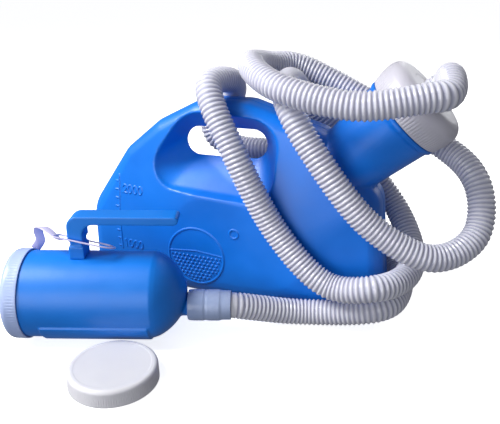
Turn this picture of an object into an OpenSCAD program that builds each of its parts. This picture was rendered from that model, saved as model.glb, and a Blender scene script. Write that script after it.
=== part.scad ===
// Urine bottle set for a bed-bound patient: a blow-moulded bottle with a slanted neck, a
// screw cap that carries a long corrugated hose, and a receiving cup with its own lid.
// The bottle stands on its long edge. +X points to the neck and +Z is up.

/* [Bottle] */
// Length of the bottle along its base
bottle_l = 283; // [278:1:288]
// Height of the bottle at the top of its carrying handle
bottle_h = 181; // [178:1:184]
// Thickness of the bottle across its middle
bottle_t = 68; // [66:1:70]
// Wall of the moulded bottle
wall = 2; // [1.6:0.2:2.4]

/* [Neck] */
// Angle of the neck above the horizontal
neck_tilt = 44; // [42:1:46]
// Radius of the neck where it meets the body
neck_root_r = 29.5; // [28:0.5:31]
// Radius of the flange under the cap
flange_r = 36; // [35:0.5:36]
// Length of the flared neck
neck_l = 53; // [50:1:56]

/* [Hose cap] */
// Height of the cap above the flange
cap_h = 27; // [27:0.5:28]
// Largest radius of the cap
cap_r = 38; // [38:0.5:39]

/* [Hose] */
// Outside diameter of the corrugated hose
hose_d = 22; // [20:1:22]

/* [Receiving cup] */
// Radius of the cup
cup_r = 35; // [34:0.5:35]
// Length of the cup from the edge of its lid to the start of its nose
cup_l = 101; // [100:1:102]
// Wall of the cup
cup_wall = 1.8; // [1.4:0.2:2.2]

/* [Loose cap] */
// Radius of the sealing cap that lies beside the bottle
seal_r = 33.5; // [33:0.5:34]
// Height of the sealing cap
seal_h = 13; // [12:0.5:14]

/* [Hidden] */
eps = 0.01;
gap = 0.3;
BLUE = [0.07, 0.36, 0.80];
WHITE = [0.90, 0.90, 0.95];
CLEAR = [0.78, 0.78, 0.86];

// How deep the flat resting face cuts into the rounded underside
foot = 0.6;
// Centre of the neck's mouth, on the bottle's middle plane
mouth_x = 144;
mouth_z = 175.5;
// The threaded part above the flange, its beads and its bore
thread_r = 30;
thread_h = 22;
bead = 0.8;
bead_steps = [6, 12, 18];
mouth_bore_r = 27;
flange_t = 4;
// Hand hole: circles [x, z, r] whose hull is its outline at both faces, and at the middle
rim_circles = [[-46, 124, 20], [22, 124, 23], [24, 147, 24], [-22, 145, 28]];
waist_circles = [[-32, 141, 13], [18, 142, 13]];
rim_y = 26;
// Cap: the skirt that turns on the thread, its roof, and the nozzle that holds the hose
skirt_r = 31.2;
skirt_t = 2;
roof_t = 2.5;
edge_r = 11;
nozzle_r = 7.5;
nozzle_bore_r = 5.5;
nozzle_l = 4.5;
cuff_end = 32;
cuff_r = 11.5;
gasket_t = 2;

// Cup: where its axis starts, its turn about the vertical, and its nose, spout and foot
cup_x = -126;
cup_y = -132.1;
cup_z = 36.5;
cup_turn = 19;
mouth_back = 11.8;
nose_l = 25;
nose_reach = 25.6;
spout_drop = 10;
spout_r = 8.9;
spout_bore_r = 7.2;
spout_end = 148;
cup_cuff_start = 127;
cup_cuff_end = 162;
cup_cuff_r = 12.8;
pad_start = 14;
pad_end = 99;
pad_t = 1.7;
pad_top = 23;
// Lid
lid_r = 36.5;
lid_face = 14;
lid_edge = 5;
// Handle: an L that stands on the cup, seen from the side
post_x = 36;
post_w = 12;
bar_end = 122;
bar_top = 70;
bar_t = 7;
handle_w = 17;
groove_z = 44.5;
groove_h = 5;
groove_d = 1.2;
// Tether: strap width and thickness, and the long loop round the handle's post
strap_w = 8;
strap_t = 1.2;
loop_back = 22;
loop_front = 72;
loop_half_w = 13;
loop_dip = 13;
loop_roll = -20;
// Loose sealing cap
seal_x = -31.5;
seal_y = -166.7;
seal_wall = 1.6;
seal_edge = 3;

// The hose's centre line from the cap to the cup
ROUTE = [
    [167, 0, 198], [172.1, -3.3, 203.9], [175.4, -14.5, 208.6], [176.6, -38.7, 201.8],
    [163.2, -50.9, 199.3], [114.2, -62.2, 192.8], [57, -54, 201], [22, -17, 211], [23, 29, 207], [56, 54, 199],
    [163, 45, 149], [203, 17, 124], [208, -10, 87], [177, -39, 75], [129, -48, 100],
    [84, -48, 152], [58, -35, 188], [46, 15, 196], [56, 45, 174], [123, 59, 98],
    [154, 32, 62], [160, -12, 47], [138, -48, 46], [97, -49, 44], [53, -46, 84],
    [15, -47, 152], [-10, -30, 193], [-8, 11, 194], [-15, 38, 178], [-36, 49, 162],
    [-44, 51, 146], [-36, 51, 130], [-10, 50, 124], [56, 49, 119], [114, 50, 68],
    [145, 34, 34], [153, -5, 23], [137, -36, 20], [78, -46, 12], [27.2, -79.3, 26.5]
];
spans = 2;
hose_sides = 10;

// ---- shared shapes ----

// Points of an arc about [x, z], from angle a to angle b in n steps
function arc(x, z, r, a, b, n = 8) =
    [for (i = [0 : n]) [x + r * cos(a + (b - a) * i / n), z + r * sin(a + (b - a) * i / n)]];

// Half profile of a disc of radius r and half thickness h with rounded edges
module rounded_half_disc(r, h, edge) {
    top = arc(r - edge, h - edge, edge, 90, 0, 5);
    low = arc(r - edge, edge - h, edge, 0, -90, 5);
    polygon(concat([[0, h]], top, low, [[0, -h]]));
}

// A rounded disc that stands on edge, its middle at [x, z]
module puck(x, z, r, t, edge) {
    translate([x, 0, z]) rotate([90, 0, 0])
        rotate_extrude($fn = 32)
            rounded_half_disc(r, t / 2, edge);
}

// ---- bottle ----

// The convex body, drawn in by d on every side
module body_form(d) {
    l = bottle_l / 2;
    h = bottle_h;
    t = bottle_t - 2 * d;
    hull() {
        puck(22 - l, 22 - foot, 22 - d, t - 20, 14 - d);
        puck(36 - l, 62, 36 - d, t - 16, 18 - d);
        puck(-80, 115, 26 - d, t - 20, 14 - d);
        puck(-52, h - 43, 26 - d, t - 20, 14 - d);
        puck(-20, h - 29, 28 - d, t - 18, 14 - d);
        puck(12, h - 27.5, 27 - d, t - 18, 14 - d);
        puck(70, 137, 26 - d, t - 20, 14 - d);
        puck(l - 30, 100, 22 - d, t - 20, 14 - d);
        puck(l - 26, 26 - foot, 26 - d, t - 20, 16 - d);
        puck(-10, 60 - foot, 60 - d, t, 20 - d);
        puck(40, 56 - foot, 56 - d, t, 20 - d);
    }
}

// Places children on the neck's axis, with z = 0 at the top face of the flange
module on_neck() {
    translate([mouth_x, 0, mouth_z]) rotate([0, 90 - neck_tilt, 0]) children();
}

// Flared neck that runs down into the body, drawn in by d and ending at the height top
module neck_form(d, top) {
    deep = 30;
    top_r = flange_r - 1.5;
    slope = (top_r - neck_root_r) / neck_l;
    on_neck() translate([0, 0, -neck_l - deep])
        cylinder(h = neck_l + deep + top, r1 = neck_root_r - deep * slope - d,
                 r2 = top_r + top * slope - d, $fn = 96);
}

// One thin slice of the hand hole at depth y
module hole_slice(y, circles, grow) {
    translate([0, y, 0]) rotate([90, 0, 0])
        for (c = circles)
            translate([c[0], c[1], 0])
                cylinder(h = 0.02, r = c[2] + grow, center = true, $fn = 32);
}

// The hand hole: wide at both faces and narrowing to the middle
module hand_hole(grow) {
    for (side = [-1, 1])
        hull() {
            hole_slice(side * (bottle_t / 2 + 2), rim_circles, grow + 4);
            hole_slice(side * rim_y, rim_circles, grow);
            hole_slice(0, waist_circles, grow);
        }
}

module bottle_body() {
    color(BLUE)
    difference() {
        union() {
            body_form(0);
            neck_form(0, 0);
            on_neck() {
                translate([0, 0, -flange_t]) cylinder(h = flange_t, r = flange_r, $fn = 96);
                translate([0, 0, -eps]) cylinder(h = thread_h + eps, r = thread_r, $fn = 96);
                for (s = bead_steps)
                    translate([0, 0, s - bead]) cylinder(h = 2 * bead, r = thread_r + bead, $fn = 96);
            }
        }
        difference() {
            union() {
                body_form(wall);
                neck_form(wall, -flange_t);
            }
            hand_hole(wall);
            translate([-200, -50, -10]) cube([400, 100, 10 + wall]);
        }
        hand_hole(0);
        on_neck() translate([0, 0, -6]) cylinder(h = thread_h + 7, r = mouth_bore_r, $fn = 96);
        translate([-200, -50, -10]) cube([400, 100, 10]);
    }
}

// ---- hose cap ----

module hose_cap() {
    outer_t = 1.8;
    side = arc(cap_r - edge_r, cap_h - edge_r, edge_r, 0, 90, 8);
    color(WHITE) on_neck() rotate_extrude($fn = 96)
        polygon(concat(
            [[flange_r - 1.6, 0.5], [flange_r + 0.2, 0.5], [cap_r, 10]],
            side,
            [[nozzle_r, cap_h], [nozzle_r, cap_h + nozzle_l],
             [nozzle_bore_r, cap_h + nozzle_l], [nozzle_bore_r, cap_h - roof_t],
             [skirt_r, cap_h - roof_t], [skirt_r, 0.8],
             [skirt_r + skirt_t, 0.8], [skirt_r + skirt_t, 17],
             [cap_r - outer_t, 15], [cap_r - outer_t, 10]]));
}

// Sealing ring under the cap's roof, over the neck's rim
module cap_gasket() {
    color(CLEAR) on_neck() translate([0, 0, cap_h - roof_t - gasket_t])
        difference() {
            cylinder(h = gasket_t, r = skirt_r - 0.7, $fn = 96);
            translate([0, 0, -1]) cylinder(h = gasket_t + 2, r = 24.5, $fn = 96);
        }
}

// Smooth sleeve at the hose's end, loose on the nozzle so that the cap can turn in it
module cap_cuff() {
    color(CLEAR) on_neck() translate([0, 0, cap_h + 0.5])
        difference() {
            cylinder(h = cuff_end - cap_h - 0.5, r = cuff_r, $fn = 64);
            translate([0, 0, -1]) cylinder(h = nozzle_l + 0.7, r = nozzle_r + gap, $fn = 64);
            translate([0, 0, -1]) cylinder(h = 20, r = nozzle_bore_r, $fn = 64);
        }
}

// ---- hose ----

// A point on the smooth curve between b and c
function curve(a, b, c, d, t) =
    0.5 * (2 * b + (c - a) * t + (2 * a - 5 * b + 4 * c - d) * t * t
           + (3 * b - a - 3 * c + d) * t * t * t);

last = len(ROUTE) - 1;
ends = concat([2 * ROUTE[0] - ROUTE[1]], ROUTE, [2 * ROUTE[last] - ROUTE[last - 1]]);
line = concat(
    [for (i = [1 : last], k = [0 : spans - 1])
        curve(ends[i - 1], ends[i], ends[i + 1], ends[i + 2], k / spans)],
    [ROUTE[last]]);

function unit(v) = v / norm(v);
function square_to(v, t) = unit(v - (v * t) * t);

// Both ends of the hose are square to the sleeve that holds them
cap_out = [cos(neck_tilt), 0, sin(neck_tilt)];
cup_in = [-cos(cup_turn), -sin(cup_turn), 0];
function heading(i) =
    i == 0 ? cap_out :
    i == len(line) - 1 ? cup_in :
    unit(line[i + 1] - line[i - 1]);

// A direction square to the line at each ring, carried along without twist
across = [for (i = 0, v = square_to([0, 1, 0.2], heading(0)); i < len(line);
               i = i + 1, v = square_to(v, heading(min(i, len(line) - 1)))) v];

module hose() {
    n = hose_sides;
    rings = len(line);
    points = [for (i = [0 : rings - 1], k = [0 : n - 1])
        line[i] + hose_d / 2 * (cos(360 * k / n) * across[i]
                                + sin(360 * k / n) * cross(heading(i), across[i]))];
    sides = [for (i = [0 : rings - 2], k = [0 : n - 1])
        [i * n + k, (i + 1) * n + k, (i + 1) * n + (k + 1) % n, i * n + (k + 1) % n]];
    first_cap = [[for (k = [0 : n - 1]) k]];
    last_cap = [[for (k = [n - 1 : -1 : 0]) (rings - 1) * n + k]];
    color(CLEAR) polyhedron(points, concat(sides, first_cap, last_cap), convexity = 10);
}

// ---- receiving cup ----

// Places children on the cup's axis, with x = 0 at the edge of its lid
module on_cup() {
    translate([cup_x, cup_y, cup_z]) rotate([0, 0, cup_turn]) children();
}

// Turns a profile of [radius, x] points about the cup's axis
module turned(points, drop = 0) {
    translate([0, 0, -drop]) rotate([0, 90, 0]) rotate_extrude($fn = 96) polygon(points);
}

// Profile of the cup's nose, drawn in by d
function nose(d) = [for (i = [0 : 11])
    let (x = nose_l * (1 - pow(1 - i / 11, 1.6)))
    [(cup_r - d) * sqrt(1 - pow(x / nose_reach, 1.35)), cup_l + x - d]];

module cup_body() {
    color(BLUE) on_cup() difference() {
        union() {
            turned(concat([[0, -mouth_back], [cup_r, -mouth_back]], nose(0),
                          [[0, cup_l + nose_l]]));
            turned([[0, cup_l], [spout_r, cup_l], [spout_r, spout_end], [0, spout_end]], spout_drop);
            intersection() {
                turned([[0, pad_start], [cup_r + pad_t, pad_start], [cup_r + pad_t, pad_end], [0, pad_end]]);
                translate([pad_start - 1, -50, -cup_z]) cube([pad_end - pad_start + 2, 100, pad_top]);
            }
        }
        turned(concat([[0, -mouth_back - 1], [cup_r - cup_wall, -mouth_back - 1]],
                      nose(cup_wall), [[0, cup_l + nose_l - cup_wall]]));
        turned([[0, cup_l], [spout_bore_r, cup_l], [spout_bore_r, spout_end + 1],
                [0, spout_end + 1]], spout_drop);
    }
}

// Sleeve that joins the hose to the cup's spout, with two soft steps
module cup_cuff() {
    r = cup_cuff_r;
    b = spout_r + gap;
    color(CLEAR) on_cup()
        turned([[b, cup_cuff_start], [r - 0.6, cup_cuff_start], [r, cup_cuff_start + 3],
                [r, 140], [r - 0.6, 141.5], [r, 143], [r, 153], [r - 0.8, 155],
                [r - 0.8, cup_cuff_end], [7, cup_cuff_end], [7, 150], [b, 149]], spout_drop);
}

// Side outline of the L-shaped handle
function handle_outline() = concat(
    [[post_x, 28]],
    arc(post_x + 9, bar_top - 9, 9, 180, 90, 6),
    arc(bar_end - 3, bar_top - 3.5, 3.5, 90, -90, 8),
    arc(post_x + post_w + 9, bar_top - bar_t - 9, 9, 90, 180, 6),
    [[post_x + post_w, 28]]);

module cup_handle() {
    color(BLUE) on_cup() difference() {
        rotate([90, 0, 0]) linear_extrude(height = handle_w, center = true)
            polygon(handle_outline());
        rotate([0, 90, 0]) cylinder(h = 200, r = cup_r, $fn = 96);
        difference() {
            translate([post_x - 2, -handle_w, groove_z]) cube([post_w + 4, 2 * handle_w, groove_h]);
            translate([post_x + groove_d, -handle_w / 2 + groove_d, groove_z - 1])
                cube([post_w - 2 * groove_d, handle_w - 2 * groove_d, groove_h + 2]);
        }
    }
}

module cup_lid() {
    inside = cup_r + gap;
    color(WHITE) on_cup() turned(concat(
        [[0, -lid_face]], arc(lid_r - lid_edge, lid_edge - lid_face, lid_edge, -90, 0, 6),
        [[lid_r, 0], [inside, 0], [inside, -mouth_back - gap], [0, -mouth_back - gap]]));
}

// One cross line of the flat tether, turned from lying across the cup to lying along it
module strap_edge(p) {
    translate(p) cube([strap_w, strap_t, strap_t], center = true);
}

// Tether: rises from the lid's skirt, arches over and ends in a loop round the post
module lid_strap() {
    rise = [[-3, 24, 28.6], [3, 22, 37], [4, 18, 46], [7, 13, 52], [13, 8, 54], [20, 3, 52],
            [26, -2, 50]];
    color(CLEAR) on_cup() {
        for (i = [0 : len(rise) - 2])
            hull() {
                strap_edge(rise[i]);
                strap_edge(rise[i + 1]);
            }
        translate([post_x + post_w / 2, 0, groove_z + groove_h / 2])
            rotate([0, loop_dip, 0]) rotate([loop_roll, 0, 0]) loop_plate();
    }
}

// The loop: a long flat ring with its slot round the post
module loop_plate() {
    mid = post_x + post_w / 2;
    b = loop_back - mid;
    f = loop_front - mid;
    w = loop_half_w;
    linear_extrude(height = strap_t, center = true)
        difference() {
            polygon(concat(arc(b + 4, w - 4, 4, 180, 90, 4), arc(f - w, 0, w, 90, -90, 12),
                           arc(b + 4, 4 - w, 4, 270, 180, 4)));
            polygon(concat(arc(b + 7, w - 6, 3, 180, 90, 4), arc(f - w, 0, w - 3, 90, -90, 12),
                           arc(b + 7, 6 - w, 3, 270, 180, 4)));
        }
}

// ---- loose sealing cap ----

module on_seal() {
    translate([seal_x, seal_y, 0]) children();
}

module sealing_cap() {
    top_in = seal_h - seal_wall;
    color(WHITE) on_seal() rotate_extrude($fn = 96)
        polygon(concat(
            [[seal_r - seal_wall - 0.4, 0], [seal_r, 0]],
            arc(seal_r - seal_edge - 0.4, seal_h - seal_edge, seal_edge, 0, 90, 6),
            [[0, seal_h], [0, top_in], [seal_r - seal_wall - 0.8, top_in]]));
}

module sealing_liner() {
    t = 1.5;
    color(CLEAR) on_seal() translate([0, 0, seal_h - seal_wall - t])
        cylinder(h = t, r = 29.5, $fn = 96);
}

bottle_body();
hose_cap();
cap_gasket();
cap_cuff();
hose();
cup_cuff();
cup_body();
cup_handle();
cup_lid();
lid_strap();
sealing_cap();
sealing_liner();
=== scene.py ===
"""Looks of the urine bottle set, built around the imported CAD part. Lengths are in metres."""

import math

import bmesh
import bpy
import numpy as np
from mathutils import Matrix, Vector


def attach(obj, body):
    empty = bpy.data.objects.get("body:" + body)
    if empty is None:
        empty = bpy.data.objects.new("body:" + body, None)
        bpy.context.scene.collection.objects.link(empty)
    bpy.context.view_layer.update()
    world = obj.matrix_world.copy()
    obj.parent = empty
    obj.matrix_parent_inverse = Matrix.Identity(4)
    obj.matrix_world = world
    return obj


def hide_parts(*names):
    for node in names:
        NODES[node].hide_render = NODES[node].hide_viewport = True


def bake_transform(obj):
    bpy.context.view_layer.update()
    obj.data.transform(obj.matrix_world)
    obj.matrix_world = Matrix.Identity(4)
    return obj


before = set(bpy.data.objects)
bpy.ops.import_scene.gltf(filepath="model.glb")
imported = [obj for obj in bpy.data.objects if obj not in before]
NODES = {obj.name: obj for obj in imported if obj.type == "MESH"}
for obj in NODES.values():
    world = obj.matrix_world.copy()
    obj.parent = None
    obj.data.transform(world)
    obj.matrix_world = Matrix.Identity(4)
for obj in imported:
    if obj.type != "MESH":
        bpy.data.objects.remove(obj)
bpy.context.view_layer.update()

MM = 0.001

# ---- camera ----

camera_data = bpy.data.cameras.new("camera")
camera_data.lens = 43.2
camera_data.sensor_width = 36
camera_data.clip_start = 0.01
camera = bpy.data.objects.new("camera", camera_data)
camera.location = (0.1895, -0.480, 0.274)
camera.rotation_euler = (math.radians(69), 0, math.radians(20))
bpy.context.scene.collection.objects.link(camera)
bpy.context.scene.camera = camera

# ---- frames that the pieces are built in ----

# The neck's axis is local z, with 0 at the top face of the flange
NECK = Matrix.Translation((0.144, 0, 0.1755)) @ Matrix.Rotation(math.radians(46), 4, "Y")
# The cup's axis is local x, with 0 at the edge of its lid
CUP = Matrix.Translation((-0.126, -0.1321, 0.0365)) @ Matrix.Rotation(math.radians(19), 4, "Z")
neck_axis = NECK.to_3x3() @ Vector((0, 0, 1))
# A revolved profile has its axis along z, so this lays it along x
ALONG_X = Matrix.Rotation(math.radians(90), 4, "Y")
SEAL = Matrix.Translation((-0.0315, -0.1667, 0))
SPOUT_DROP = 0.010

# ---- mesh helpers ----


def add_object(name, mesh, matrix=None):
    """A new object in the scene for this mesh, its place baked into the mesh."""
    if matrix is not None:
        mesh.transform(matrix)
    obj = bpy.data.objects.new(name, mesh)
    bpy.context.scene.collection.objects.link(obj)
    return obj


def mesh_from(name, points, faces):
    mesh = bpy.data.meshes.new(name)
    mesh.from_pydata([tuple(p) for p in points], [], faces)
    mesh.update()
    return mesh


def shade_smooth(mesh):
    mesh.polygons.foreach_set("use_smooth", np.ones(len(mesh.polygons), bool))
    mesh.update()


def outward(mesh):
    """Turns every face of a closed mesh outward."""
    bm = bmesh.new()
    bm.from_mesh(mesh)
    bmesh.ops.recalc_face_normals(bm, faces=bm.faces)
    bm.to_mesh(mesh)
    bm.free()


def apply_modifiers(obj):
    """Leaves the mesh that the object's modifiers make, and no modifiers."""
    bpy.context.view_layer.update()
    seen = obj.evaluated_get(bpy.context.evaluated_depsgraph_get())
    mesh = bpy.data.meshes.new_from_object(seen)
    old = obj.data
    obj.modifiers.clear()
    obj.data = mesh
    bpy.data.meshes.remove(old)


def rounded(profile, steps=4):
    """A closed profile of (radius, height, corner) in mm, with its corners rounded off."""
    result = []
    count = len(profile)
    for i, (r, z, corner) in enumerate(profile):
        here = Vector((r, z))
        if corner <= 0:
            result.append(here)
            continue
        before = Vector(profile[i - 1][:2]) - here
        after = Vector(profile[(i + 1) % count][:2]) - here
        reach = min(corner, before.length * 0.45, after.length * 0.45)
        a = here + before.normalized() * reach
        b = here + after.normalized() * reach
        for k in range(steps + 1):
            t = k / steps
            result.append(a * (1 - t) ** 2 + here * 2 * t * (1 - t) + b * t * t)
    return result


def arc(r, z, radius, start, end, steps):
    """Points of (radius, height, no corner) on an arc in a profile, in mm and degrees."""
    turns = [math.radians(start + (end - start) * k / steps) for k in range(steps + 1)]
    return [(r + radius * math.cos(t), z + radius * math.sin(t), 0) for t in turns]


def revolved(name, profile, matrix, segments=128, ridge=None):
    """Turns a closed profile in mm about z. ridge(radius, height, angle) moves a point outward."""
    ring = rounded(profile)
    count = len(ring)
    points = []
    for s in range(segments):
        angle = 2 * math.pi * s / segments
        for r, z in ring:
            wide = r + (ridge(r, z, angle) if ridge else 0)
            points.append((wide * math.cos(angle), wide * math.sin(angle), z))
    points = np.array(points) * MM
    faces = []
    for s in range(segments):
        n = (s + 1) % segments
        for k in range(count):
            j = (k + 1) % count
            faces.append((s * count + k, n * count + k, n * count + j, s * count + j))
    mesh = mesh_from(name, points, faces)
    bm = bmesh.new()
    bm.from_mesh(mesh)
    bmesh.ops.remove_doubles(bm, verts=bm.verts, dist=1e-6)
    bmesh.ops.recalc_face_normals(bm, faces=bm.faces)
    bm.to_mesh(mesh)
    bm.free()
    shade_smooth(mesh)
    return add_object(name, mesh, matrix)


def plug(matrix, low, high, radius):
    """A closed cylinder that stops a mouth while a shell is made."""
    profile = [(0, low, 0), (radius, low, 0), (radius, high, 0), (0, high, 0)]
    return revolved("plug", profile, matrix, segments=64)


def outer_skin(name, node, plugs, voxel, rounds):
    """The node's outer skin as one closed mesh of even faces, softened as moulding does."""
    bm = bmesh.new()
    bm.from_mesh(NODES[node].data)
    bm.transform(NODES[node].matrix_world)
    for piece in plugs:
        bm.from_mesh(piece.data)
        bpy.data.objects.remove(piece)
    mesh = bpy.data.meshes.new(name)
    bmesh.ops.remove_doubles(bm, verts=bm.verts, dist=1e-6)
    bm.to_mesh(mesh)
    bm.free()
    obj = add_object(name, mesh)
    remesh = obj.modifiers.new("remesh", "REMESH")
    remesh.mode = "VOXEL"
    remesh.voxel_size = voxel
    smooth = obj.modifiers.new("smooth", "SMOOTH")
    smooth.factor = 0.5
    smooth.iterations = rounds
    apply_modifiers(obj)
    keep_largest(obj.data)
    return obj


def keep_largest(mesh):
    """Keeps the connected part with the most vertices, which is the outer skin."""
    bm = bmesh.new()
    bm.from_mesh(mesh)
    seen = set()
    best, best_count = [], 0
    for first in bm.verts:
        if first.index in seen:
            continue
        part, stack = [], [first]
        seen.add(first.index)
        while stack:
            v = stack.pop()
            part.append(v)
            for e in v.link_edges:
                other = e.other_vert(v)
                if other.index not in seen:
                    seen.add(other.index)
                    stack.append(other)
        if len(part) > best_count:
            best, best_count = part, len(part)
    kept = set(best)
    bmesh.ops.delete(bm, geom=[v for v in bm.verts if v not in kept], context="VERTS")
    bm.to_mesh(mesh)
    bm.free()


def open_mouth(obj, matrix, end, radius, depth=0.9):
    """Opens the round mouth at local z = end (mm), and makes its rim a true circle."""
    inverse = matrix.inverted()
    side = 1 if end > 0 else -1
    bm = bmesh.new()
    bm.from_mesh(obj.data)
    gone = []
    for f in bm.faces:
        p = inverse @ f.calc_center_median()
        if side * p.z > (side * end - depth) * MM and math.hypot(p.x, p.y) < radius * MM:
            gone.append(f)
    bmesh.ops.delete(bm, geom=gone, context="FACES")
    for v in bm.verts:
        if not v.is_boundary:
            continue
        p = inverse @ v.co
        r = math.hypot(p.x, p.y)
        if side * p.z < (side * end - 3) * MM or r > (radius + 3) * MM:
            continue
        scale = radius * MM / r
        v.co = matrix @ Vector((p.x * scale, p.y * scale, end * MM))
    bm.to_mesh(obj.data)
    bm.free()


def thicken(obj, wall):
    """Gives an open skin its wall, on the inside."""
    solid = obj.modifiers.new("wall", "SOLIDIFY")
    solid.thickness = wall
    solid.offset = -1
    solid.use_rim = True
    apply_modifiers(obj)


def set_coordinates(mesh, co):
    mesh.vertices.foreach_set("co", co.astype(np.float32).ravel())
    mesh.update()


def coordinates(mesh):
    """The mesh's vertices as an array of points."""
    co = np.empty(len(mesh.vertices) * 3, np.float32)
    mesh.vertices.foreach_get("co", co)
    return co.reshape(-1, 3).astype(float)


def normals(mesh):
    """The mesh's vertex normals, in the same order."""
    n = np.empty(len(mesh.vertices) * 3, np.float32)
    mesh.vertex_normals.foreach_get("vector", n)
    return n.reshape(-1, 3).astype(float)


# ---- materials ----


def principled(name, roughness):
    material = bpy.data.materials.new(name)
    material.use_nodes = True
    tree = material.node_tree
    shader = tree.nodes["Principled BSDF"]
    shader.inputs["Roughness"].default_value = roughness
    return material, tree, shader


def noise(tree, scale, detail=2):
    place = tree.nodes.new("ShaderNodeTexCoord")
    texture = tree.nodes.new("ShaderNodeTexNoise")
    texture.inputs["Scale"].default_value = scale
    texture.inputs["Detail"].default_value = detail
    tree.links.new(place.outputs["Object"], texture.inputs["Vector"])
    return texture


def moulded(name, dark, light, roughness, grain=380, bump=0.06, mottle=14):
    """Moulded plastic: two close colours in soft clouds, uneven gloss and a fine grain."""
    material, tree, shader = principled(name, roughness)
    clouds = noise(tree, mottle, 3)
    ramp = tree.nodes.new("ShaderNodeValToRGB")
    ramp.color_ramp.elements[0].position = 0.3
    ramp.color_ramp.elements[0].color = (*dark, 1)
    ramp.color_ramp.elements[1].position = 0.7
    ramp.color_ramp.elements[1].color = (*light, 1)
    tree.links.new(clouds.outputs["Fac"], ramp.inputs["Fac"])
    tree.links.new(ramp.outputs["Color"], shader.inputs["Base Color"])
    gloss = noise(tree, mottle * 4, 2)
    spread = tree.nodes.new("ShaderNodeMapRange")
    spread.inputs["To Min"].default_value = roughness - 0.06
    spread.inputs["To Max"].default_value = roughness + 0.08
    tree.links.new(gloss.outputs["Fac"], spread.inputs["Value"])
    tree.links.new(spread.outputs["Result"], shader.inputs["Roughness"])
    fine = noise(tree, grain, 2)
    wave = noise(tree, 45, 1)
    both = tree.nodes.new("ShaderNodeMath")
    both.operation = "MULTIPLY_ADD"
    both.inputs[1].default_value = 6
    tree.links.new(wave.outputs["Fac"], both.inputs[0])
    tree.links.new(fine.outputs["Fac"], both.inputs[2])
    lift = tree.nodes.new("ShaderNodeBump")
    lift.inputs["Strength"].default_value = bump
    lift.inputs["Distance"].default_value = 0.0006
    tree.links.new(both.outputs["Value"], lift.inputs["Height"])
    tree.links.new(lift.outputs["Normal"], shader.inputs["Normal"])
    return material


def translucent(material, weight, depth):
    """Lets light into a milky plastic."""
    shader = material.node_tree.nodes["Principled BSDF"]
    shader.inputs["Subsurface Weight"].default_value = weight
    shader.inputs["Subsurface Scale"].default_value = depth
    shader.inputs["Subsurface Radius"].default_value = (1.0, 0.9, 1.0)
    shader.inputs["IOR"].default_value = 1.45
    return material


def give(obj, material, body, slot, *replaced):
    """The piece's material and body, and the CAD nodes that it stands for; slot is not used."""
    obj.data.materials.clear()
    obj.data.materials.append(material)
    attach(obj, body)
    if replaced:
        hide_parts(*replaced)


BLUE = moulded("blue_polyethylene", (0.0, 0.135, 0.60), (0.001, 0.18, 0.74), 0.38)
CUP_BLUE = moulded("blue_cup_plastic", (0.0, 0.145, 0.58), (0.001, 0.185, 0.70), 0.40)
for blue in (BLUE, CUP_BLUE):
    blue.node_tree.nodes["Principled BSDF"].inputs["Specular IOR Level"].default_value = 0.5
CAP_WHITE = translucent(
    moulded("white_cap_plastic", (0.49, 0.48, 0.55), (0.57, 0.56, 0.63), 0.36), 0.35, 0.006)
LID_WHITE = translucent(
    moulded("white_lid_plastic", (0.34, 0.43, 0.72), (0.42, 0.52, 0.80), 0.30), 0.2, 0.004)
SEAL_WHITE = translucent(
    moulded("milky_seal_plastic", (0.62, 0.61, 0.67), (0.70, 0.69, 0.74), 0.38), 0.45, 0.008)
CUFF_CLEAR = translucent(
    moulded("clear_cuff_plastic", (0.20, 0.29, 0.52), (0.34, 0.41, 0.60), 0.24), 0.2, 0.003)
STRAP_CLEAR = translucent(
    moulded("clear_strap_plastic", (0.50, 0.47, 0.68), (0.58, 0.55, 0.76), 0.32), 0.3, 0.002)
CUFF_MILKY = translucent(
    moulded("milky_cuff_plastic", (0.60, 0.60, 0.70), (0.70, 0.70, 0.80), 0.24), 0.3, 0.003)
RUBBER = moulded("gasket_rubber", (0.30, 0.30, 0.33), (0.38, 0.38, 0.41), 0.55)
LINER = moulded("liner_foam", (0.66, 0.66, 0.70), (0.74, 0.74, 0.78), 0.6)


def hose_plastic():
    """Milky hose plastic, with painted shade darkening the grooves."""
    material = moulded(
        "milky_hose_plastic", (0.56, 0.56, 0.64), (0.66, 0.66, 0.73), 0.22, mottle=30)
    tree = material.node_tree
    shader = tree.nodes["Principled BSDF"]
    plain = shader.inputs["Base Color"].links[0].from_socket
    groove_shade = tree.nodes.new("ShaderNodeAttribute")
    groove_shade.attribute_name = "groove_shade"
    # Painted shade: a darker grey-blue mixed in by how deep each ring sits in a groove
    groove_shade_mix = tree.nodes.new("ShaderNodeMix")
    groove_shade_mix.data_type = "RGBA"
    groove_shade_mix.inputs["B"].default_value = (0.42, 0.43, 0.55, 1)
    tree.links.new(groove_shade.outputs["Fac"], groove_shade_mix.inputs["Factor"])
    tree.links.new(plain, groove_shade_mix.inputs["A"])
    tree.links.new(groove_shade_mix.outputs["Result"], shader.inputs["Base Color"])
    return translucent(material, 0.5, 0.006)


HOSE_CLEAR = hose_plastic()

# ---- hose ----

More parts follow.
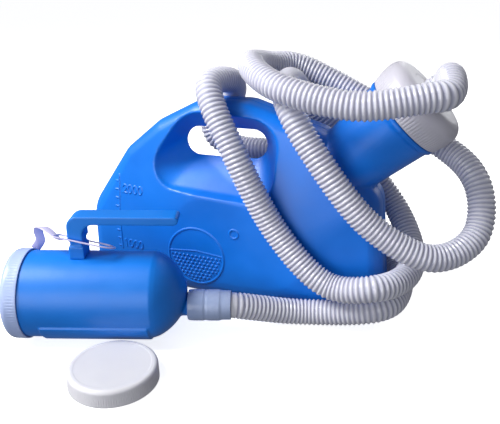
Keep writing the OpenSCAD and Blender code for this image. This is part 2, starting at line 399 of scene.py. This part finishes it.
ROUTE = [
    (0.167, 0, 0.198), (0.1721, -0.0033, 0.2039), (0.1754, -0.0145, 0.2086),
    (0.1766, -0.0387, 0.2018), (0.1632, -0.0509, 0.1993), (0.1142, -0.0622, 0.1928),
    (0.057, -0.054, 0.201),
    (0.022, -0.017, 0.211), (0.023, 0.029, 0.207), (0.056, 0.054, 0.199),
    (0.163, 0.045, 0.149), (0.203, 0.017, 0.124), (0.208, -0.010, 0.087),
    (0.177, -0.039, 0.075), (0.129, -0.048, 0.100), (0.084, -0.048, 0.152),
    (0.058, -0.035, 0.188), (0.046, 0.015, 0.196), (0.056, 0.045, 0.174),
    (0.123, 0.059, 0.098), (0.154, 0.032, 0.062), (0.160, -0.012, 0.047),
    (0.138, -0.048, 0.046), (0.097, -0.049, 0.044), (0.053, -0.046, 0.084),
    (0.015, -0.047, 0.152), (-0.010, -0.030, 0.193), (-0.008, 0.011, 0.194),
    (-0.015, 0.038, 0.178), (-0.036, 0.049, 0.162), (-0.044, 0.051, 0.146),
    (-0.036, 0.051, 0.130), (-0.010, 0.050, 0.124), (0.056, 0.049, 0.119),
    (0.114, 0.050, 0.068), (0.145, 0.034, 0.034), (0.153, -0.005, 0.023),
    (0.137, -0.036, 0.020), (0.078, -0.046, 0.012), (0.0272, -0.0793, 0.0265),
]
PITCH = 0.0037
# The first and last rings, held in the sleeves, have no corrugation
PLAIN_START = 3
PLAIN_END = 6
# Radius of a plain ring, and its share of the painted groove shade
PLAIN_RING = (0.0104, 0.2)
# Radius of each ring of one corrugation, and how deep in the groove it is, which sets how much
# painted shade the ring gets
CORRUGATION = [(0.0098, 1.0), (0.0101, 0.7), (0.0108, 0.1), (0.0110, 0.0), (0.0108, 0.1),
               (0.0101, 0.7)]
HOSE_SIDES = 28


def smooth_line(points, steps):
    """The smooth curve through these points, as part.scad draws it."""
    p = np.array(points, float)
    p = np.vstack([2 * p[0] - p[1], p, 2 * p[-1] - p[-2]])
    line = []
    for i in range(1, len(p) - 2):
        a, b, c, d = p[i - 1], p[i], p[i + 1], p[i + 2]
        for k in range(steps):
            t = k / steps
            line.append(0.5 * (2 * b + (c - a) * t + (2 * a - 5 * b + 4 * c - d) * t ** 2
                               + (3 * b - a - 3 * c + d) * t ** 3))
    line.append(p[-2])
    return np.array(line)


def even(line, spacing):
    """The same line with points at even distances, as near to spacing as fits."""
    along = np.concatenate([[0], np.cumsum(np.linalg.norm(np.diff(line, axis=0), axis=1))])
    count = max(2, int(round(along[-1] / spacing)))
    wanted = np.linspace(0, along[-1], count + 1)
    return np.stack([np.interp(wanted, along, line[:, k]) for k in range(3)], axis=1)


def carried(line, first, settle=0.009):
    """Each point's heading, and a direction square to it, carried along without twist.

    Both ends turn square to the sleeve that holds them within the settle distance.
    """
    heads = np.gradient(line, axis=0)
    heads /= np.linalg.norm(heads, axis=1)[:, None]
    step = np.linalg.norm(line[1] - line[0])
    count = int(settle / step)
    cup_axis = CUP.to_3x3() @ Vector((-1, 0, 0))
    for k in range(count):
        share = 1 - k / count
        for i, square in ((k, np.array(neck_axis)), (-1 - k, np.array(cup_axis))):
            heads[i] = share * square + (1 - share) * heads[i]
            heads[i] /= np.linalg.norm(heads[i])
    v = np.array(first, float)
    across = []
    for h in heads:
        v = v - (v @ h) * h
        v /= np.linalg.norm(v)
        across.append(v.copy())
    return heads, np.array(across)


def make_hose():
    line = even(smooth_line(ROUTE, 40), PITCH / len(CORRUGATION))
    heads, across = carried(line, (0, 1, 0.2))
    turns = 2 * np.pi * np.arange(HOSE_SIDES) / HOSE_SIDES
    points, ring_shade = [], []
    last = len(line) - 1
    for i, centre in enumerate(line):
        radius, groove_shade = CORRUGATION[i % len(CORRUGATION)]
        if i < PLAIN_START or i > last - PLAIN_END:
            radius, groove_shade = PLAIN_RING
        up = np.cross(heads[i], across[i])
        ring = np.cos(turns)[:, None] * across[i] + np.sin(turns)[:, None] * up
        points.append(centre + radius * ring)
        ring_shade += [groove_shade] * HOSE_SIDES
    points = np.concatenate(points)
    faces = []
    n = HOSE_SIDES
    for i in range(last):
        for k in range(n):
            j = (k + 1) % n
            faces.append((i * n + k, (i + 1) * n + k, (i + 1) * n + j, i * n + j))
    faces.append(tuple(range(n)))
    faces.append(tuple(last * n + k for k in reversed(range(n))))
    mesh = mesh_from("corrugated_hose", points, faces)
    # Each ring's share of the painted groove shade, stored per vertex for the hose material
    mesh.attributes.new("groove_shade", "FLOAT", "POINT").data.foreach_set(
        "value", np.array(ring_shade, np.float32))
    outward(mesh)
    shade_smooth(mesh)
    return add_object("corrugated_hose", mesh), line


hose, hose_line = make_hose()
hose.data.materials.append(HOSE_CLEAR)
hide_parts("hose")
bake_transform(hose)

# ---- bottle ----


def bump_height(distance, half, soft):
    """1 within half of a stroke, falling smoothly to 0 over soft."""
    t = np.clip((half + soft - distance) / soft, 0, 1)
    return t * t * (3 - 2 * t)


def stroke_distance(x, z, points):
    """Distance in mm from each (x, z) to a line through these points."""
    best = np.full(x.shape, 1e9)
    for (ax, az), (bx, bz) in zip(points[:-1], points[1:]):
        dx, dz = bx - ax, bz - az
        t = np.clip(((x - ax) * dx + (z - az) * dz) / (dx * dx + dz * dz), 0, 1)
        best = np.minimum(best, np.hypot(x - ax - t * dx, z - az - t * dz))
    return best


def oval(cx, cz, rx, rz, start=0, end=360, steps=20):
    turns = [math.radians(start + (end - start) * k / steps) for k in range(steps + 1)]
    return [(cx + rx * math.cos(t), cz + rz * math.sin(t)) for t in turns]


# Each digit in a cell 0.6 wide and 1 high
DIGITS = {
    "0": [oval(0.3, 0.5, 0.28, 0.48)],
    "1": [[(0.12, 0.78), (0.34, 1.0), (0.34, 0.0)]],
    "2": [oval(0.3, 0.72, 0.27, 0.27, 170, -35, 10) + [(0.02, 0.0), (0.6, 0.0)]],
}


def number(text, x, z, height, pitch):
    """The strokes of a plain scale number, in mm."""
    strokes = []
    for i, digit in enumerate(text):
        for stroke in DIGITS[digit]:
            strokes.append([(x + i * pitch + px * height, z + pz * height) for px, pz in stroke])
    return strokes


def scale_strokes():
    strokes = [[(-105, 36), (-105, 108)]]
    strokes += [[(-109, z), (-105, z)] for z in range(38, 107, 8)]
    strokes += number("2000", -101, 92, 7.5, 5.6)
    strokes += number("1000", -102.5, 38.5, 7.5, 5.6)
    return strokes


# The marks on the front face: middle x, middle z and radius, in mm
RING = (-25, 42, 27)
SMALL_RING = (12, 69, 4)
# Between the dots in the ring, and between their rows
DOT_PITCH = 4.0
ROW_PITCH = 3.4


def front_relief(x, z):
    """Height in mm of the raised marks on the bottle's front face."""
    height = np.zeros(x.shape)
    for stroke in scale_strokes():
        near = stroke_distance(x, z, stroke)
        height = np.maximum(height, 0.55 * bump_height(near, 0.35, 0.6))
    cx, cz, r = RING
    from_ring = np.hypot(x - cx, z - cz)
    height = np.maximum(height, 0.6 * bump_height(np.abs(from_ring - r), 0.5, 0.7))
    # Raised dots fill the lower half of the ring, in staggered rows
    row = np.round((z - cz) / ROW_PITCH)
    shift = np.where(row % 2 == 0, 0.0, DOT_PITCH / 2)
    dx = (x - cx - shift + DOT_PITCH / 2) % DOT_PITCH - DOT_PITCH / 2
    dz = (z - cz) - row * ROW_PITCH
    dots = bump_height(np.hypot(dx, dz), 0.55, 0.9)
    inside = (from_ring < r - 3) & (z < cz + 1)
    height = np.maximum(height, np.where(inside, 0.8 * dots, 0))
    edge = stroke_distance(x, z, [(cx - r + 1, cz + 3), (cx, cz + 5.5), (cx + r - 1, cz + 3)])
    height = np.maximum(height, 0.5 * bump_height(edge, 0.3, 0.6))
    sx, sz, sr = SMALL_RING
    from_small = np.abs(np.hypot(x - sx, z - sz) - sr)
    height = np.maximum(height, 0.6 * bump_height(from_small, 0.4, 0.6))
    return height * MM


def refine(mesh, wanted, cuts):
    """Divides the faces whose middle and normal satisfy wanted."""
    bm = bmesh.new()
    bm.from_mesh(mesh)
    edges = set()
    for f in bm.faces:
        if wanted(f.calc_center_median(), f.normal):
            edges.update(f.edges)
    bmesh.ops.subdivide_edges(bm, edges=list(edges), cuts=cuts, use_grid_fill=True)
    bm.to_mesh(mesh)
    bm.free()


def marked(p, n):
    """Whether a face lies under the raised marks or on the moulding's parting line."""
    if n.y < -0.6:
        x, z = p.x / MM, p.z / MM
        if -111 < x < -77 and 35 < z < 110:
            return True
        if math.hypot(x - RING[0], z - RING[1]) < RING[2] + 3:
            return True
        if math.hypot(x - SMALL_RING[0], z - SMALL_RING[1]) < 7:
            return True
    return abs(p.y) < 0.0014 and abs(n.y) < 0.4 and p.z > 0.004


# Where each mouth opens along its own axis, and its radius, in mm
BOTTLE_MOUTH = (22, 27)
CUP_MOUTH = (-11.8, 33.2)
SPOUT_MOUTH = (148, 7.2)
BOTTLE_WALL = 0.0018
CUP_WALL = 0.0016
BOTTLE_VOXEL = 0.00115
CUP_VOXEL = 0.0008
HANDLE_VOXEL = 0.0006
SEAM_HEIGHT = 0.3


def make_bottle():
    stop = plug(NECK, -8, BOTTLE_MOUTH[0], 28.5)
    obj = outer_skin("bottle_shell", "bottle_body", [stop], BOTTLE_VOXEL, 7)
    mesh = obj.data
    refine(mesh, marked, 2)
    co, out = coordinates(mesh), normals(mesh)
    x, z = co[:, 0] / MM, co[:, 2] / MM
    front = np.clip((-out[:, 1] - 0.5) / 0.2, 0, 1)
    lift = front_relief(x, z) * front
    from_neck = (co - np.array(NECK.translation)) @ np.array(neck_axis)
    seam = bump_height(np.abs(co[:, 1]) / MM, 0.25, 0.55) * SEAM_HEIGHT * MM
    on_edge = np.clip((0.5 - np.abs(out[:, 1])) / 0.2, 0, 1) * (z > 4) * (from_neck < -0.005)
    co += out * (lift + seam * on_edge)[:, None]
    set_coordinates(mesh, co)
    open_mouth(obj, NECK, *BOTTLE_MOUTH)
    thicken(obj, BOTTLE_WALL)
    shade_smooth(obj.data)
    return obj


give(make_bottle(), BLUE, "bottle", "bottle_blue", "bottle_body")

# ---- hose cap, its gasket and its cuff ----


def cap_ridges(r, z, angle):
    """Fine grip ridges round the lower part of the cap's side."""
    if r < 35.8 or not 0.8 < z < 14:
        return 0
    fade = min(1, (z - 0.8) / 2, (14 - z) / 5)
    return -0.35 * fade * (0.5 + 0.5 * math.cos(90 * angle)) ** 2


cap_side = [(36.2, 0.5, 0.5)] + [(36.2 + 1.8 * k / 8, 0.5 + 9.5 * k / 8, 0) for k in range(1, 9)]
cap_side += [(38, 11.5, 0), (38, 13.5, 0)]
cap_profile = cap_side + arc(27, 16, 11, 5, 90, 14) + [
    (20, 27, 0.4), (19, 26.6, 0.4), (12, 26.6, 0.4), (11, 27, 0.4),
    (7.5, 27, 1), (7.5, 31.5, 0.5), (5.5, 31.5, 0.5), (5.5, 24.5, 0.5),
    (31.2, 24.5, 1), (31.2, 0.8, 0.4), (33.2, 0.8, 0.4), (33.2, 17, 0.8), (36.2, 15, 0.8),
    (36.2, 10, 0.5), (34.4, 0.5, 0.3)]
give(revolved("hose_cap_shell", cap_profile, NECK, 720, cap_ridges),
     CAP_WHITE, "hose_cap", "cap_white", "hose_cap")
gasket_profile = [(24.5, 22.5, 0.5), (30.5, 22.5, 0.5), (30.5, 24.5, 0.5), (24.5, 24.5, 0.5)]
give(revolved("gasket_ring", gasket_profile, NECK),
     RUBBER, "hose_cap", "gasket", "cap_gasket")
cap_cuff_profile = [(7.8, 27.6, 0.3), (11.0, 27.6, 0.6), (11.5, 28.6, 0.4), (11.5, 31.4, 0.4),
                    (11.2, 32.0, 0.3), (5.6, 32.0, 0.2), (5.6, 31.9, 0), (7.8, 31.7, 0.1)]
give(revolved("cap_cuff_sleeve", cap_cuff_profile, NECK, 96),
     CUFF_MILKY, "cap_carrier", "cuff_clear", "cap_cuff")

# ---- receiving cup, its handle, spout cuff and lid ----

CUP_AXIS = CUP @ ALONG_X
SPOUT_AXIS = CUP @ Matrix.Translation((0, 0, -SPOUT_DROP)) @ ALONG_X


def make_cup():
    stops = [plug(CUP_AXIS, CUP_MOUTH[0], -4, 34), plug(SPOUT_AXIS, 140, SPOUT_MOUTH[0], 8.2)]
    obj = outer_skin("cup_shell", "cup_body", stops, CUP_VOXEL, 5)
    open_mouth(obj, CUP_AXIS, *CUP_MOUTH)
    open_mouth(obj, SPOUT_AXIS, *SPOUT_MOUTH)
    thicken(obj, CUP_WALL)
    shade_smooth(obj.data)
    return obj


give(make_cup(), CUP_BLUE, "cup", "cup_blue", "cup_body")
handle = outer_skin("cup_handle_bar", "cup_handle", [], HANDLE_VOXEL, 10)
shade_smooth(handle.data)
give(handle, CUP_BLUE, "cup", "cup_blue", "cup_handle")

cup_cuff_profile = [
    (9.2, 127, 0.4), (12.2, 127, 0.8), (12.7, 129.5, 0.8), (12.8, 132, 0.5), (12.8, 139.5, 0.5),
    (12.25, 141.2, 0.8), (12.7, 143, 0.8), (12.75, 147, 0.5), (12.7, 152.5, 0.6),
    (12.0, 154.5, 0.8), (11.9, 162, 0.4), (7, 162, 0.3), (7, 150, 0.3), (9.2, 149, 0.3)]
give(revolved("cup_cuff_sleeve", cup_cuff_profile, SPOUT_AXIS, 96),
     CUFF_CLEAR, "bottle", "cuff_clear", "cup_cuff")


def lid_ridges(r, z, angle):
    """Fine grip ridges round the lid's skirt."""
    if r < 36 or not -8 < z < -0.6:
        return 0
    return -0.22 * min(1, (z + 8) / 1.5) * (0.5 + 0.5 * math.cos(96 * angle))


lid_profile = [(0, -14, 0), (14, -14, 0), (27.5, -14, 0.5), (28.3, -13.5, 0.4),
               (29.6, -13.5, 0.4), (30.4, -14, 0.3)]
lid_profile += arc(31.5, -9, 5, -90, 0, 10)
lid_profile += [(36.5, -7, 0), (36.5, -5, 0), (36.5, -3, 0), (36.5, 0, 0.5), (35.3, 0, 0.4),
                (35.3, -12.1, 0.6), (0, -12.1, 0)]
give(revolved("cup_lid_shell", lid_profile, CUP_AXIS, 768, lid_ridges),
     LID_WHITE, "cup_lid", "lid_white", "cup_lid")

# ---- tether between the lid and the handle ----


def band(line, wide, width, thick, closed):
    """A flat band with rounded edges along line; wide is its width direction at each point."""
    count = len(line)
    section = oval(0, 0, 0.5, 0.5, 0, 360, 12)[:-1]
    points, faces = [], []
    for i in range(count):
        if closed:
            head = line[(i + 1) % count] - line[i - 1]
        else:
            head = line[min(i + 1, count - 1)] - line[max(i - 1, 0)]
        head = head / np.linalg.norm(head)
        w = wide[i] - (wide[i] @ head) * head
        w = w / np.linalg.norm(w)
        flat = np.cross(head, w)
        for a, b in section:
            # A squared-off oval keeps the band flat with soft edges
            sa = math.copysign(abs(2 * a) ** 0.35, a) / 2
            sb = math.copysign(abs(2 * b) ** 0.8, b) / 2
            points.append(line[i] + w * width * sa + flat * thick * sb)
    n = len(section)
    for i in range(count if closed else count - 1):
        j = (i + 1) % count
        for k in range(n):
            m = (k + 1) % n
            faces.append((i * n + k, j * n + k, j * n + m, i * n + m))
    if not closed:
        faces.append(tuple(range(n)))
        faces.append(tuple((count - 1) * n + k for k in reversed(range(n))))
    return points, faces


BAND_STEP = 0.0012
BAND_THICK = 0.0012
BAND_WIDTH = 0.0078
LOOP_WIDTH = 0.003


def make_strap():
    # From the lid's rim up to the handle's post, in the cup's frame
    rise = [(-3, 24, 28.6), (3, 22, 37), (4, 18, 46), (7, 13, 52), (13, 8, 54), (20, 3, 52),
            (26, -2, 50), (30, -4, 49.4)]
    line = even(smooth_line(np.array(rise) * MM, 12), BAND_STEP)
    turn = np.linspace(0, 1, len(line))[:, None] ** 2
    wide = (1 - turn) * np.array((1.0, 0, 0)) + turn * np.array((0, 1.0, -0.3))
    points, faces = band(line, wide, BAND_WIDTH, BAND_THICK, False)
    # The loop: a long ring round the handle's post, its back corners rounded
    back, front, half, corner = -18.5, 17, 11.5, 3.5
    outline = [(back + corner - corner * math.sin(t), half - corner + corner * math.cos(t))
               for t in np.linspace(math.pi / 2, 0, 6)]
    outline += [(front + half * math.sin(t), half * math.cos(t))
                for t in np.linspace(0, math.pi, 32)]
    outline += [(back + corner - corner * math.sin(t), corner - half - corner * math.cos(t))
                for t in np.linspace(0, math.pi / 2, 6)]
    outline.append(outline[0])
    ring = even(np.array([(x, y, 0) for x, y in outline]) * MM, BAND_STEP)[:-1]
    heads = np.roll(ring, -1, axis=0) - np.roll(ring, 1, axis=0)
    sideways = np.cross(heads, (0, 0, 1.0))
    more, loop_faces = band(ring, sideways, LOOP_WIDTH, BAND_THICK, True)
    tilt = (Matrix.Translation((0.042, 0, 0.047)) @ Matrix.Rotation(math.radians(13), 4, "Y")
            @ Matrix.Rotation(math.radians(-20), 4, "X"))
    start = len(points)
    points += [tilt @ Vector(p) for p in more]
    faces += [tuple(start + k for k in f) for f in loop_faces]
    mesh = mesh_from("tether", points, faces)
    outward(mesh)
    shade_smooth(mesh)
    return add_object("tether", mesh, CUP)


strap = make_strap()
strap.data.materials.append(STRAP_CLEAR)
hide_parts("lid_strap")
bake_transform(strap)

# ---- loose sealing cap ----


def seal_ridges(r, z, angle):
    """Fine grip ridges round the sealing cap's side."""
    if r < 32.6 or not 0.6 < z < 9.5:
        return 0
    fade = min(1, (z - 0.6) / 1.2, (9.5 - z) / 2)
    return -0.22 * fade * (0.5 + 0.5 * math.cos(120 * angle))


seal_profile = [(31.5, 0, 0.3), (33.5, 0, 0.4)]
seal_profile += [(33.5 - 0.4 * k / 6, 10 * k / 6, 0) for k in range(1, 6)]
seal_profile += arc(30.1, 10, 3, 0, 90, 8)
seal_profile += [(28.4, 13, 0.2), (28.0, 12.85, 0.2), (25, 12.85, 0), (0, 12.85, 0), (0, 11.4, 0),
                 (31.1, 11.4, 0.8)]
give(revolved("sealing_cap_shell", seal_profile, SEAL, 840, seal_ridges),
     SEAL_WHITE, "sealing_cap", "seal_white", "sealing_cap")
liner_profile = [(0, 9.9, 0), (29.5, 9.9, 0.4), (29.5, 11.35, 0.3), (0, 11.35, 0)]
give(revolved("sealing_liner_disc", liner_profile, SEAL),
     LINER, "sealing_cap", "liner", "sealing_liner")

# ---- floor, lights and world ----


FLOOR_RADIUS = 12
FLOOR_SIDES = 64
FLOOR_DROP = 0.0002


def make_floor():
    ring = [tuple(FLOOR_RADIUS * c for c in (math.cos(t), math.sin(t), 0))
            for t in np.linspace(0, 2 * math.pi, FLOOR_SIDES, endpoint=False)]
    mesh = mesh_from("floor", ring, [tuple(range(FLOOR_SIDES))])
    obj = add_object("floor", mesh)
    obj.location.z = -FLOOR_DROP
    material = moulded("pale_floor", (0.90, 0.90, 0.91), (0.94, 0.94, 0.94), 0.7, bump=0.01)
    shader = material.node_tree.nodes["Principled BSDF"]
    shader.inputs["Emission Color"].default_value = (1, 1, 1, 1)
    shader.inputs["Emission Strength"].default_value = 0.8
    obj.data.materials.append(material)
    # The floor glows for the camera only, so that it doesn't wash out the shaded sides
    obj.visible_diffuse = False
    obj.visible_glossy = False


def area_light(name, place, target, size, power, colour, shine=1.0):
    """A square lamp at place, turned to target; shine scales its highlights."""
    data = bpy.data.lights.new(name, "AREA")
    data.specular_factor = shine
    data.size = size
    data.energy = power
    data.color = colour
    obj = bpy.data.objects.new(name, data)
    obj.location = place
    obj.rotation_euler = (Vector(target) - Vector(place)).to_track_quat("-Z", "Y").to_euler()
    bpy.context.scene.collection.objects.link(obj)


make_floor()
area_light("key", (-0.75, -0.50, 0.95), (0, 0, 0.08), 0.5, 23, (1.0, 0.99, 0.97))
area_light("fill", (-0.1, -1.25, 0.22), (0.02, 0, 0.08), 0.8, 8, (0.96, 0.97, 1.0), 0.3)
area_light("rear", (0.5, 1.3, 0.7), (0, 0, 0.08), 1.0, 7, (0.97, 0.98, 1.0), 0.4)
world = bpy.data.worlds.new("studio")
world.use_nodes = True
background = world.node_tree.nodes["Background"]
background.inputs["Color"].default_value = (0.93, 0.95, 1.0, 1)
# The backdrop is white to look at and dim as a light
ray = world.node_tree.nodes.new("ShaderNodeLightPath")
strength = world.node_tree.nodes.new("ShaderNodeMapRange")
strength.inputs["To Min"].default_value = 0.22
strength.inputs["To Max"].default_value = 1.1
world.node_tree.links.new(ray.outputs["Is Camera Ray"], strength.inputs["Value"])
world.node_tree.links.new(strength.outputs["Result"], background.inputs["Strength"])
bpy.context.scene.world = world
bpy.context.scene.view_settings.view_transform = "Standard"
